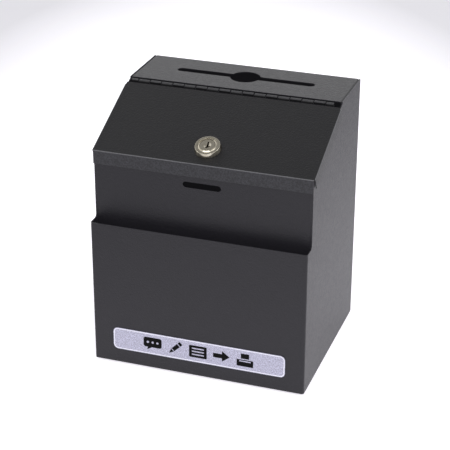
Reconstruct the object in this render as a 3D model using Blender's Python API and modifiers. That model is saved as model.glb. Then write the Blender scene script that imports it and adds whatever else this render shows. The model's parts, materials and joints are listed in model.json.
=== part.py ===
"""Steel suggestion box: a folded sheet-metal case with a card pocket in front and a locking lid.

Metres, +Z up. X runs across the front and -Y is the side that faces the user. The origin is on the
surface that the feet stand on, under the middle of the box. The lid pieces hang from an empty on the
hinge axis, and the pieces that turn with the key hang from an empty on the lock's axis.
"""

import math

import bmesh
import bpy
from mathutils import Matrix, Vector

MM = 0.001

# Case
WIDTH = 216 * MM              # over the side panels
DEPTH = 176.7 * MM            # pocket face to back
HEIGHT = 259.3 * MM           # without the feet
SHEET = 0.9 * MM              # thickness of every folded panel
GAP = 0.3 * MM                # clearance between neighbouring pieces
WRAP_BEND = 2.4 * MM          # outside radius of the wrap's folds
TOP_BEND = 1.5 * MM           # and of the back and top panel's
BEND_STEPS = 5
FLANGE = 12 * MM              # turned-in edges of the back and top panel

# Card pocket and inner front
POCKET_HEIGHT = 148.6 * MM
POCKET_DEPTH = 15.2 * MM      # pocket face to inner front panel, outside to outside
POCKET_STEP_SETBACK = 14.5 * MM
POCKET_STEP_RADIUS = 3 * MM
INNER_FLANGE = 7 * MM
INNER_BEND = 1.2 * MM
INNER_BELOW_LID = 1.6 * MM    # top edge below the lid's front edge
CAM_SLOT_LENGTH = 38 * MM
CAM_SLOT_HEIGHT = 6 * MM
CAM_SLOT_LEVEL = 195.2 * MM   # slot centre above the case's bottom

# Top panel and its letter slot
TOP_DEPTH = 68 * MM
LETTER_SLOT_LENGTH = 142 * MM
LETTER_SLOT_WIDTH = 9 * MM
LETTER_SLOT_FROM_BACK = 33.2 * MM
FINGER_HOLE_RADIUS = 15 * MM

# Wall mounting
KEYHOLE_SPACING = 140 * MM
KEYHOLE_LEVEL = 205 * MM      # round end above the case's bottom
KEYHOLE_RADIUS = 4.5 * MM
KEYHOLE_NECK_WIDTH = 4.8 * MM
KEYHOLE_NECK_LENGTH = 9 * MM

# Bottom panel and feet
TRAY_HEIGHT = 10 * MM
TRAY_BEND = 1.6 * MM
TRAY_CLEARANCE = 1 * MM       # above the tray's turned-up edges
FOOT_STANDOFF = 1.8 * MM      # case's bottom above the surface
FOOT_RADIUS = 6.5 * MM
FOOT_INSET = 22 * MM

# Label on the pocket
LABEL_WIDTH = 176.4 * MM
LABEL_HEIGHT = 23.5 * MM
LABEL_LEVEL = 26.7 * MM       # label centre above the case's bottom
LABEL_OFFSET = 1 * MM         # and to the right of its middle
LABEL_CORNER = 5 * MM
LABEL_THICKNESS = 0.25 * MM

# Lid
LID_SLOPE = math.radians(23.4)
LID_FRONT_SETBACK = 13.3 * MM  # pocket face to the lid's front edge
LID_WIDTH = 219.2 * MM
LID_BEND = 1.3 * MM
LID_FRONT_FLANGE = 13.5 * MM
LID_SIDE_FLANGE = 11.5 * MM
LID_SIDE_START = 1.2 * MM      # side flange behind the front edge
LID_SIDE_END = 3 * MM          # side flange short of the top edge
LID_SIDE_STRIP = 6 * MM        # part of the lid that is drawn with each side flange
LID_REST_GAP = 0.5 * MM        # lid's underside above the side panels' slope

# Hinge
BARREL_RADIUS = 2 * MM
LEAF_THICKNESS = 0.8 * MM
PIN_RADIUS = 0.85 * MM
HINGE_BEHIND = 2.8 * MM        # axis in front of the top panel's edge
HINGE_BELOW = 2.8 * MM         # axis below the top surface
LID_TO_BARREL = 2.4 * MM       # lid's top edge to the barrel
HINGE_LEFT = -104.9 * MM
FIRST_KNUCKLE = 7.5 * MM
KNUCKLE = 11.89 * MM
FULL_KNUCKLES = 16
LAST_KNUCKLE = 7.75 * MM
KNUCKLE_GAP = 0.9 * MM
NOTCH_CLEARANCE = 0.6 * MM     # round the other leaf's knuckles
LEAF_REACH = 16 * MM           # leaf beyond the axis
LEAF_STEP = 2.9 * MM           # where the leaf leaves its plate for the barrel
LEAF_GAP = 0.4 * MM            # leaf below the panel that covers it
CURL_END = math.radians(325)
CURL_STEPS = 14

# Cam lock, sizes along its axis measured from the lid's outer face
LOCK_FROM_FRONT_EDGE = 21.5 * MM
LOCK_STEPS = 48
HEAD_RADIUS = 13.1 * MM        # the head, where it meets the lid
RING_RADIUS = 11.9 * MM        # and at the top of its outer ring
RING_LEVEL = 4.6 * MM
RING_ROUNDING = 0.5 * MM
DISC_RADIUS = 9.1 * MM         # raised disc inside the ring
DISC_LEVEL = 5.1 * MM
DISC_ROUNDING = 1.2 * MM
THREAD_RADIUS = 9.4 * MM
THREAD_HALF_FLAT = 8 * MM
HOUSING_END = -19.8 * MM
HOUSING_CHAMFER = 0.6 * MM
PLUG_RADIUS = 6.4 * MM
PLUG_HEAD_RADIUS = 7.2 * MM
PLUG_HEAD_FLOOR = 3 * MM       # step in the housing that the plug's head sits over
PLUG_FACE = 4.9 * MM
PLUG_SHOULDER = -20.7 * MM
TAIL_RADIUS = 4.4 * MM
TAIL_HALF_FLAT = 3.2 * MM
KEYWAY_LENGTH = 7.8 * MM
KEYWAY_WIDTH = 1.7 * MM
KEYWAY_DEPTH = 17 * MM
WAFER_COUNT = 5
WAFER_PITCH = 3 * MM
FIRST_WAFER = 0.5 * MM
WAFER_THICKNESS = 0.9 * MM
WAFER_SIZE = (5.4 * MM, 11 * MM)
WAFER_HOLE = (2.6 * MM, 8.4 * MM)
CAM_MIDDLE = -21.9 * MM
CAM_THICKNESS = 1.8 * MM
CAM_LENGTH = 31.5 * MM
CAM_HALF_WIDTH = 6 * MM
CAM_EYE_RADIUS = 8.5 * MM
CAM_TIP_CORNER = 2 * MM
WASHER_THICKNESS = 0.8 * MM
LOCK_WASHER_RADIUS = 12.6 * MM
CAM_WASHER_RADIUS = 6 * MM
NUT_THICKNESS = 3 * MM
NUT_ACROSS_FLATS = 23 * MM
SCREW_SHANK_RADIUS = 1.6 * MM
SCREW_LENGTH = 6 * MM
SCREW_BORE_DEPTH = 5 * MM
SCREW_HEAD_RADIUS = 4 * MM
SCREW_HEAD_HEIGHT = 2.4 * MM
CROSS_WIDTH = 1 * MM
CROSS_LENGTH = 4 * MM
CROSS_DEPTH = 1.2 * MM

# Places worked out from the sizes above
LABEL_REACH = GAP + LABEL_THICKNESS
BACK_Y = (DEPTH + LABEL_REACH) / 2
FRONT_Y = BACK_Y - DEPTH
BOTTOM_Z = FOOT_STANDOFF
TOP_Z = BOTTOM_Z + HEIGHT
TOP_FRONT_Y = BACK_Y - TOP_DEPTH
SIDE_X = WIDTH / 2
INSIDE_X = SIDE_X - SHEET - GAP
INNER_FRONT_Y = FRONT_Y + POCKET_DEPTH
HINGE_Y = TOP_FRONT_Y - HINGE_BEHIND
HINGE_Z = TOP_Z - HINGE_BELOW
HINGE_RIGHT = HINGE_LEFT + FIRST_KNUCKLE + FULL_KNUCKLES * KNUCKLE + LAST_KNUCKLE
LID_FRONT_Y = FRONT_Y + LID_FRONT_SETBACK
LID_FRONT_Z = TOP_Z - (TOP_FRONT_Y - LID_FRONT_Y) * math.tan(LID_SLOPE)

# A frame that lies on the lid: X across, Y up the slope from the front edge, Z out of the lid
LID_FRAME = Matrix.Translation((0, LID_FRONT_Y, LID_FRONT_Z)) @ Matrix.Rotation(LID_SLOPE, 4, "X")
HINGE_IN_LID = LID_FRAME.inverted() @ Vector((0, HINGE_Y, HINGE_Z))
LID_LENGTH = HINGE_IN_LID.y - BARREL_RADIUS - LID_TO_BARREL
LOCK_FRAME = LID_FRAME @ Matrix.Translation((0, LOCK_FROM_FRONT_EDGE, 0))
HINGE_FRAME = Matrix.Translation((0, HINGE_Y, HINGE_Z))

# Turns a profile drawn in the XY plane into the YZ plane, so that it is extruded along X
ALONG_X = Matrix(((0, 0, 1, 0), (1, 0, 0, 0), (0, 1, 0, 0), (0, 0, 0, 1)))
# The same for a profile in the XZ plane that is extruded along Y
ALONG_Y = Matrix.Rotation(math.pi / 2, 4, "X")

BLACK_PAINT = (0.035, 0.034, 0.036)
NICKEL = (0.46, 0.43, 0.36)
ZINC = (0.42, 0.42, 0.41)
BRASS = (0.55, 0.42, 0.18)
RUBBER = (0.02, 0.02, 0.02)
LABEL_SILVER = (0.55, 0.54, 0.66)


# ---------------------------------------------------------------- general tools

def collection(name):
    """A collection of the scene, made when it is first asked for."""
    found = bpy.data.collections.get(name)
    if found is None:
        found = bpy.data.collections.new(name)
        bpy.context.scene.collection.children.link(found)
    return found


def add_object(name, data, tool=False):
    """Object in the box's collection, or a hidden tool in the cutters' collection."""
    obj = bpy.data.objects.new(name, data)
    collection("cutters" if tool else "suggestion_box").objects.link(obj)
    if tool:
        obj.hide_render = True
        obj.display_type = "WIRE"
    return obj


def mesh_object(name, bm, tool=False):
    """Object with the geometry of a bmesh, shaded smooth across its shallow edges."""
    mesh = bpy.data.meshes.new(name)
    bm.to_mesh(mesh)
    bm.free()
    mesh.shade_smooth()
    mesh.set_sharp_from_angle(angle=math.radians(35))
    return add_object(name, mesh, tool)


def paint(obj, colour, roughness, metallic):
    """Give an object a Principled material of its own."""
    material = bpy.data.materials.new(obj.name)
    material.use_nodes = True
    shader = material.node_tree.nodes["Principled BSDF"]
    shader.inputs["Base Color"].default_value = (*colour, 1)
    shader.inputs["Roughness"].default_value = roughness
    shader.inputs["Metallic"].default_value = metallic
    material.diffuse_color = (*colour, 1)
    obj.data.materials.append(material)
    return obj


def empty(name, frame):
    """Empty that stands on a joint's axis."""
    obj = add_object(name, None)
    obj.empty_display_size = 20 * MM
    obj.matrix_world = frame
    return obj


def hang(obj, parent):
    """Parent an object that was modelled in world coordinates, and leave it where it is."""
    obj.parent = parent
    obj.matrix_parent_inverse = parent.matrix_basis.inverted()


def solidify(obj, thickness, offset):
    """Thicken an open surface: offset -1 goes against its normals and 1 along them."""
    shell = obj.modifiers.new("thickness", "SOLIDIFY")
    shell.thickness = thickness
    shell.offset = offset
    shell.use_even_offset = True


def combine(obj, tool, operation="DIFFERENCE"):
    """Cut a tool from an object, or join it on."""
    boolean = obj.modifiers.new(tool.name, "BOOLEAN")
    boolean.operation = operation
    boolean.solver = "EXACT"
    boolean.object = tool


def rounded(corners, steps=BEND_STEPS):
    """Path through (x, y, radius) corners, with an arc at every corner that has a radius."""
    points = []
    for index, (x, y, radius) in enumerate(corners):
        corner = Vector((x, y))
        if radius == 0:
            points.append(corner)
            continue
        before = Vector(corners[index - 1][:2]) - corner
        after = Vector(corners[(index + 1) % len(corners)][:2]) - corner
        half_angle = before.angle(after) / 2
        inward = (before.normalized() + after.normalized()).normalized()
        centre = corner + inward * radius / math.sin(half_angle)
        setback = radius / math.tan(half_angle)
        start = corner + before.normalized() * setback - centre
        end = corner + after.normalized() * setback - centre
        for step in range(steps + 1):
            points.append(centre + start.slerp(end, step / steps).normalized() * radius)
    return points


def arc(radius, start, end, steps):
    """Points on an arc about the origin."""
    angles = [start + (end - start) * step / steps for step in range(steps + 1)]
    return [Vector((radius * math.cos(angle), radius * math.sin(angle))) for angle in angles]


def circle(radius, steps=24):
    return arc(radius, 0, 2 * math.pi * (steps - 1) / steps, steps - 1)


def rectangle(width, height, radius=0):
    x = width / 2
    y = height / 2
    return rounded([(x, -y, radius), (x, y, radius), (-x, y, radius), (-x, -y, radius)])


def stadium(length, width, steps=8):
    """Slot outline with round ends, along X."""
    end = Vector(((length - width) / 2, 0))
    right = [end + point for point in arc(width / 2, -math.pi / 2, math.pi / 2, steps)]
    return right + [-point for point in right]


def double_d(radius, half_flat, steps=10):
    """Circle with a flat on each side, at X = +half_flat and -half_flat."""
    corner = math.acos(half_flat / radius)
    upper = arc(radius, corner, math.pi - corner, steps)
    return upper + [-point for point in upper]


def bent_sheet(name, path, frame, length, thickness=SHEET, offset=1, tool=False):
    """Sheet folded along an open path in the frame's XY plane and as wide as length along its Z."""
    bm = bmesh.new()
    verts = [bm.verts.new((point.x, point.y, -length / 2)) for point in path]
    edges = [bm.edges.new(pair) for pair in zip(verts, verts[1:])]
    drawn = bmesh.ops.extrude_edge_only(bm, edges=edges)
    far_side = [item for item in drawn["geom"] if isinstance(item, bmesh.types.BMVert)]
    bmesh.ops.translate(bm, verts=far_side, vec=(0, 0, length))
    bm.transform(frame)
    obj = mesh_object(name, bm, tool)
    solidify(obj, thickness, offset)
    return obj


def folded_box(name, low, high, open_sides, bend):
    """Sheet-metal box without the faces whose outward directions are in open_sides."""
    bm = bmesh.new()
    low = Vector(low)
    high = Vector(high)
    frame = Matrix.Translation((low + high) / 2) @ Matrix.Diagonal((*(high - low), 1))
    bmesh.ops.create_cube(bm, size=1, matrix=frame)
    bm.normal_update()
    missing = [face for face in bm.faces
               if any(face.normal.dot(Vector(side)) > 0.9 for side in open_sides)]
    bmesh.ops.delete(bm, geom=missing, context="FACES")
    folds = [edge for edge in bm.edges if len(edge.link_faces) == 2]
    bmesh.ops.bevel(bm, geom=folds, offset=bend, segments=BEND_STEPS, profile=0.5, affect="EDGES")
    obj = mesh_object(name, bm)
    solidify(obj, SHEET, -1)
    return obj


def plate(name, loops, frame, thickness, tool=False):
    """Flat plate of an outline, with a hole for each further loop, its middle on the frame's XY plane."""
    curve = bpy.data.curves.new(name, "CURVE")
    curve.dimensions = "2D"
    curve.fill_mode = "BOTH"
    curve.extrude = thickness / 2
    for loop in loops:
        spline = curve.splines.new("POLY")
        spline.points.add(len(loop) - 1)
        for point, place in zip(spline.points, loop):
            point.co = (place.x, place.y, 0, 1)
        spline.use_cyclic_u = True
    outline = add_object(name + "_outline", curve, tool=True)
    bpy.context.view_layer.update()
    evaluated = outline.evaluated_get(bpy.context.evaluated_depsgraph_get())
    mesh = bpy.data.meshes.new_from_object(evaluated)
    bpy.data.objects.remove(outline)
    bm = bmesh.new()
    bm.from_mesh(mesh)
    bpy.data.meshes.remove(mesh)
    bmesh.ops.remove_doubles(bm, verts=bm.verts, dist=0.001 * MM)
    bm.transform(frame)
    bm.normal_update()
    bmesh.ops.recalc_face_normals(bm, faces=bm.faces)
    return mesh_object(name, bm, tool)


def turned(name, profile, ring=False, steps=LOCK_STEPS):
    """Solid turned about Z from a (radius, height) profile that runs down its outer side."""
    points = [(radius, 0, height) for radius, height in profile]
    edges = [(index, index + 1) for index in range(len(points) - 1)]
    if ring:
        edges.append((len(points) - 1, 0))
    mesh = bpy.data.meshes.new(name)
    mesh.from_pydata(points, edges, [])
    obj = add_object(name, mesh)
    screw = obj.modifiers.new("turn", "SCREW")
    screw.steps = steps
    screw.render_steps = steps
    screw.use_merge_vertices = True
    screw.merge_threshold = 0.01 * MM
    return obj


def blocks(name, boxes, frame=Matrix.Identity(4)):
    """Cutting tool of one or more separate boxes, each given by its low and high corner."""
    bm = bmesh.new()
    for low, high in boxes:
        low = Vector(low)
        high = Vector(high)
        box = Matrix.Translation((low + high) / 2) @ Matrix.Diagonal((*(high - low), 1))
        bmesh.ops.create_cube(bm, size=1, matrix=frame @ box)
    return mesh_object(name, bm, tool=True)


# ---------------------------------------------------------------- case

def side_outline_cutter():
    """Everything that is cut from the wrap above the pocket, below the lid and off the top corner."""
    reach = 20 * MM
    step_y = FRONT_Y + POCKET_STEP_SETBACK
    step_z = BOTTOM_Z + POCKET_HEIGHT
    lid_underside = (SHEET + LID_REST_GAP) / math.cos(LID_SLOPE)
    slope_front_z = LID_FRONT_Z + (step_y - LID_FRONT_Y) * math.tan(LID_SLOPE) - lid_underside
    corners = [
        (FRONT_Y - reach, step_z, 0),
        (step_y, step_z, POCKET_STEP_RADIUS),
        (step_y, slope_front_z, 0),
        (TOP_FRONT_Y, TOP_Z - lid_underside, 0),
        (TOP_FRONT_Y, TOP_Z + reach, 0),
        (FRONT_Y - reach, TOP_Z + reach, 0),
    ]
    return plate("side_outline_cutter", [rounded(corners)], ALONG_X, WIDTH * 2, tool=True)


def top_corner_cutter():
    """Rounds the side panels' upper back corners to follow the fold between back and top."""
    reach = 10 * MM
    middle = Vector((BACK_Y - TOP_BEND, TOP_Z - TOP_BEND))
    corners = [(middle.x, TOP_Z + reach, 0)]
    corners += [(*(middle + point), 0) for point in arc(TOP_BEND, math.pi / 2, 0, BEND_STEPS)]
    corners += [(BACK_Y + reach, middle.y, 0), (BACK_Y + reach, TOP_Z + reach, 0)]
    return plate("top_corner_cutter", [rounded(corners)], ALONG_X, WIDTH * 2, tool=True)


def side_and_pocket_wrap():
    """One sheet that makes both side panels and the pocket's front."""
    path = rounded([
        (-SIDE_X, BACK_Y, 0),
        (-SIDE_X, FRONT_Y, WRAP_BEND),
        (SIDE_X, FRONT_Y, WRAP_BEND),
        (SIDE_X, BACK_Y, 0),
    ])
    frame = Matrix.Translation((0, 0, BOTTOM_Z + HEIGHT / 2))
    obj = bent_sheet("side_and_pocket_wrap", path, frame, HEIGHT)
    combine(obj, side_outline_cutter())
    combine(obj, top_corner_cutter())
    return paint(obj, BLACK_PAINT, 0.5, 0)


def letter_slot_cutters():
    """The long slot in the top and the round hole in its middle."""
    frame = Matrix.Translation((0, BACK_Y - LETTER_SLOT_FROM_BACK, TOP_Z))
    slot = stadium(LETTER_SLOT_LENGTH, LETTER_SLOT_WIDTH)
    long_slot = plate("letter_slot_cutter", [slot], frame, 8 * MM, tool=True)
    round_hole = plate("finger_hole_cutter", [circle(FINGER_HOLE_RADIUS, 32)], frame, 9 * MM, tool=True)
    return [long_slot, round_hole]


def keyhole_cutters():
    """A round hole with a narrow neck above it, left and right, for two wall screws."""
    tools = []
    for side, x in (("left", -KEYHOLE_SPACING / 2), ("right", KEYHOLE_SPACING / 2)):
        frame = Matrix.Translation((x, BACK_Y, BOTTOM_Z + KEYHOLE_LEVEL)) @ ALONG_Y
        hole = circle(KEYHOLE_RADIUS)
        tools.append(plate(f"keyhole_{side}_cutter", [hole], frame, 8 * MM, tool=True))
        neck = stadium(2 * KEYHOLE_NECK_LENGTH, KEYHOLE_NECK_WIDTH)
        upright = [Vector((point.y, point.x)) for point in neck if point.x > 0]
        base = [Vector((-KEYHOLE_NECK_WIDTH / 2, 0)), Vector((KEYHOLE_NECK_WIDTH / 2, 0))]
        tools.append(plate(f"keyhole_neck_{side}_cutter", [upright + base], frame, 9 * MM, tool=True))
    return tools


def back_and_top_panel():
    """Back and top in one folded sheet, with flanges turned in along the side panels."""
    low = (-INSIDE_X, TOP_FRONT_Y, BOTTOM_Z)
    high = (INSIDE_X, BACK_Y, TOP_Z)
    obj = folded_box("back_and_top_panel", low, high, [(0, -1, 0), (0, 0, -1)], TOP_BEND)
    hollow_low = (-WIDTH, TOP_FRONT_Y - 20 * MM, BOTTOM_Z - 20 * MM)
    hollow_high = (WIDTH, BACK_Y - FLANGE, TOP_Z - FLANGE)
    combine(obj, blocks("flange_cutter", [(hollow_low, hollow_high)]))
    combine(obj, tray_notches("back_notches", INSIDE_X - TOP_BEND))
    for tool in letter_slot_cutters() + keyhole_cutters():
        combine(obj, tool)
    return paint(obj, BLACK_PAINT, 0.5, 0)


def bottom_panel():
    """Tray that closes the bottom, with its edges turned up inside the case."""
    low = (-INSIDE_X, FRONT_Y + SHEET + GAP, BOTTOM_Z)
    high = (INSIDE_X, BACK_Y - SHEET - GAP, BOTTOM_Z + TRAY_HEIGHT)
    obj = folded_box("bottom_panel", low, high, [(0, 0, 1)], TRAY_BEND)
    return paint(obj, BLACK_PAINT, 0.5, 0)


def tray_notches(name, inner_x):
    """Clears the lower corners of an upright panel, outside inner_x, for the tray's turned-up sides."""
    outer_x = SIDE_X + 20 * MM
    low_z = BOTTOM_Z - 20 * MM
    high_z = BOTTOM_Z + TRAY_HEIGHT + TRAY_CLEARANCE
    return blocks(name, [((inner_x, -DEPTH, low_z), (outer_x, DEPTH, high_z)),
                         ((-outer_x, -DEPTH, low_z), (-inner_x, DEPTH, high_z))])


def inner_front_panel():
    """Wall between the pocket and the locked part, with the slot that the lock's cam turns into."""
    top_z = LID_FRONT_Z - INNER_BELOW_LID
    low = (-INSIDE_X, INNER_FRONT_Y, BOTTOM_Z + SHEET + GAP)
    high = (INSIDE_X, INNER_FRONT_Y + INNER_FLANGE, top_z)
    obj = folded_box("inner_front_panel", low, high, [(0, 1, 0)], INNER_BEND)
    combine(obj, tray_notches("inner_front_notches", INSIDE_X - TRAY_BEND - GAP))
    frame = Matrix.Translation((0, INNER_FRONT_Y, BOTTOM_Z + CAM_SLOT_LEVEL)) @ ALONG_Y
    slot = stadium(CAM_SLOT_LENGTH, CAM_SLOT_HEIGHT)
    combine(obj, plate("cam_slot_cutter", [slot], frame, 8 * MM, tool=True))
    return paint(obj, BLACK_PAINT, 0.5, 0)


def feet():
    """Four stick-on rubber feet."""
    height = FOOT_STANDOFF - GAP
    y = DEPTH / 2 - FOOT_INSET
    x = SIDE_X - FOOT_INSET
    for name, place in (("front_left", (-x, -y)), ("front_right", (x, -y)),
                        ("back_left", (-x, y)), ("back_right", (x, y))):
        bpy.ops.mesh.primitive_cylinder_add(vertices=24, radius=FOOT_RADIUS, depth=height,
                                            location=(*place, height / 2))
        foot = bpy.context.object
        foot.name = "foot_" + name
        for owner in foot.users_collection:
            owner.objects.unlink(foot)
        collection("suggestion_box").objects.link(foot)
        bevel = foot.modifiers.new("edge", "BEVEL")
        bevel.width = 0.4 * MM
        bevel.segments = 2
        foot.data.shade_smooth()
        foot.data.set_sharp_from_angle(angle=math.radians(35))
        paint(foot, RUBBER, 0.8, 0)


def pocket_label():
    """Thin printed label on the pocket's face."""
    middle_y = FRONT_Y - GAP - LABEL_THICKNESS / 2
    frame = Matrix.Translation((LABEL_OFFSET, middle_y, BOTTOM_Z + LABEL_LEVEL)) @ ALONG_Y
    outline = rectangle(LABEL_WIDTH, LABEL_HEIGHT, LABEL_CORNER)
    obj = plate("pocket_label", [outline], frame, LABEL_THICKNESS)
    return paint(obj, LABEL_SILVER, 0.35, 0)


# ---------------------------------------------------------------- lid and hinge

def lid_panel():
    """Lid with a front flange that hangs down and side flanges that reach over the side panels."""
    down = Vector((-math.sin(LID_SLOPE), -math.cos(LID_SLOPE))) * LID_FRONT_FLANGE
    path = rounded([(down.x, down.y, 0), (0, 0, LID_BEND), (LID_LENGTH, 0, 0)])
    obj = bent_sheet("lid_panel", path, LID_FRAME @ ALONG_X, LID_WIDTH - 2 * LID_BEND, offset=-1)
    combine(obj, lid_side_flanges(), "UNION")
    hole = double_d(THREAD_RADIUS + GAP, THREAD_HALF_FLAT + GAP)
    combine(obj, plate("lock_hole_cutter", [hole], LOCK_FRAME, 8 * MM, tool=True))
    return paint(obj, BLACK_PAINT, 0.5, 0)


def lid_side_flanges():
    """Both turned-down sides of the lid, with a strip of lid that joins them to the panel."""
    half = LID_WIDTH / 2
    path = rounded([(half - LID_SIDE_STRIP, 0, 0), (half, 0, LID_BEND), (half, -LID_SIDE_FLANGE, 0)])
    start = LID_SIDE_START
    end = LID_LENGTH - LID_SIDE_END
    frame = LID_FRAME @ Matrix.Translation((0, (start + end) / 2, 0)) @ ALONG_Y
    obj = bent_sheet("lid_side_flanges", path, frame, end - start, offset=-1, tool=True)
    mirror = obj.modifiers.new("other side", "MIRROR")
    mirror.merge_threshold = 0.01 * MM
    return obj


def leaf_path(plate_height):
    """Outer side of a leaf from its far edge, up onto the barrel and round the pin.

    X is the distance from the pin and Y the height above it. The plate lies at plate_height and
    meets the barrel on a line that touches it.
    """
    corner = Vector((LEAF_STEP, plate_height))
    touch = math.atan2(corner.y, corner.x) + math.acos(BARREL_RADIUS / corner.length)
    barrel = arc(BARREL_RADIUS, touch, CURL_END, CURL_STEPS)
    return [Vector((LEAF_REACH, plate_height)), corner] + barrel


def knuckle_edges():
    """X where each knuckle of the hinge starts, and the hinge's right end."""
    edges = [HINGE_LEFT]
    edges += [HINGE_LEFT + FIRST_KNUCKLE + index * KNUCKLE for index in range(FULL_KNUCKLES + 1)]
    return edges + [HINGE_RIGHT]


def knuckle_notches(name, first, frame):
    """Clears every other knuckle, so that the other leaf's knuckles fit in."""
    edges = knuckle_edges()
    room = BARREL_RADIUS + NOTCH_CLEARANCE
    boxes = []
    for index in range(first, len(edges) - 1, 2):
        left = edges[index] - KNUCKLE_GAP / 2
        right = edges[index + 1] + KNUCKLE_GAP / 2
        boxes.append(((left, -room, -room), (right, room, room)))
    return blocks(name, boxes, frame)


def hinge_box_leaf():
    """Leaf under the top panel, rolled round the pin at its front."""
    middle = Matrix.Translation(((HINGE_LEFT + HINGE_RIGHT) / 2, 0, 0))
    path = leaf_path(HINGE_BELOW - SHEET - LEAF_GAP)
    obj = bent_sheet("hinge_box_leaf", path, HINGE_FRAME @ middle @ ALONG_X,
                     HINGE_RIGHT - HINGE_LEFT, LEAF_THICKNESS)
    combine(obj, knuckle_notches("box_leaf_notches", 1, HINGE_FRAME))
    return paint(obj, BLACK_PAINT, 0.45, 0.3)


def hinge_lid_leaf():
    """Leaf under the lid, stepped up onto the pin through the lid's top edge."""
    plate_height = -HINGE_IN_LID.z - SHEET - LEAF_GAP
    frame = HINGE_FRAME @ Matrix.Rotation(LID_SLOPE, 4, "X")
    middle = Matrix.Translation(((HINGE_LEFT + HINGE_RIGHT) / 2, 0, 0))
    path = [Vector((-point.x, point.y)) for point in leaf_path(plate_height)]
    obj = bent_sheet("hinge_lid_leaf", path, frame @ middle @ ALONG_X,
                     HINGE_RIGHT - HINGE_LEFT, LEAF_THICKNESS, offset=-1)
    combine(obj, knuckle_notches("lid_leaf_notches", 0, frame))
    return paint(obj, BLACK_PAINT, 0.45, 0.3)


def hinge_pin():
    """Wire that runs through every knuckle."""
    frame = HINGE_FRAME @ Matrix.Translation(((HINGE_LEFT + HINGE_RIGHT) / 2, 0, 0)) @ ALONG_X
    obj = plate("hinge_pin", [circle(PIN_RADIUS, 16)], frame, HINGE_RIGHT - HINGE_LEFT - 1 * MM)
    return paint(obj, BLACK_PAINT, 0.45, 0.3)


# ---------------------------------------------------------------- cam lock, in the lock's own frame

def flats_cutter(name, half_flat, low, high):
    """Two blocks that leave a flat on each side of a turned shank."""
    reach = 20 * MM
    return blocks(name, [((half_flat, -reach, low), (reach, reach, high)),
                         ((-reach, -reach, low), (-half_flat, reach, high))], LOCK_FRAME)


def lock_housing():
    """Fixed body of the lock: stepped round head outside the lid, flatted shank inside."""
    bore = PLUG_RADIUS + GAP
    counterbore = PLUG_HEAD_RADIUS + GAP
    profile = [(point.x, point.y) for point in rounded([
        (counterbore, DISC_LEVEL, 0),
        (DISC_RADIUS, DISC_LEVEL, DISC_ROUNDING),
        (DISC_RADIUS + GAP, DISC_LEVEL - DISC_ROUNDING, 0),
        (DISC_RADIUS + GAP, RING_LEVEL, 0),
        (RING_RADIUS, RING_LEVEL, RING_ROUNDING),
        (HEAD_RADIUS, GAP, 0),
        (THREAD_RADIUS, GAP, 0),
        (THREAD_RADIUS, HOUSING_END + HOUSING_CHAMFER, 0),
        (THREAD_RADIUS - HOUSING_CHAMFER, HOUSING_END, 0),
        (bore, HOUSING_END, 0),
        (bore, PLUG_HEAD_FLOOR, 0),
        (counterbore, PLUG_HEAD_FLOOR, 0),
    ])]
    obj = turned("lock_housing", profile, ring=True)
    combine(obj, flats_cutter("housing_flats_cutter", THREAD_HALF_FLAT, HOUSING_END - 5 * MM, 0))
    return paint(obj, NICKEL, 0.25, 1)


def lock_nut_and_washer():
    """Washer and thin hexagon nut that clamp the housing to the lid from inside."""
    hole = THREAD_RADIUS + GAP
    washer_top = -SHEET - GAP
    nut_top = washer_top - WASHER_THICKNESS - GAP
    washer_frame = Matrix.Translation((0, 0, washer_top - WASHER_THICKNESS / 2))
    washer_loops = [circle(LOCK_WASHER_RADIUS, 32), double_d(hole, THREAD_HALF_FLAT + GAP)]
    washer = plate("lock_washer", washer_loops, washer_frame, WASHER_THICKNESS)
    paint(washer, ZINC, 0.4, 1)
    corner_radius = NUT_ACROSS_FLATS / math.sqrt(3)
    nut_frame = Matrix.Translation((0, 0, nut_top - NUT_THICKNESS / 2))
    nut = plate("lock_nut", [circle(corner_radius, 6), circle(hole, 32)], nut_frame, NUT_THICKNESS)
    paint(nut, ZINC, 0.4, 1)
    return [washer, nut]


def wafer_heights():
    """Height of each wafer's middle along the lock's axis."""
    return [-FIRST_WAFER - index * WAFER_PITCH for index in range(WAFER_COUNT)]


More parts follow.
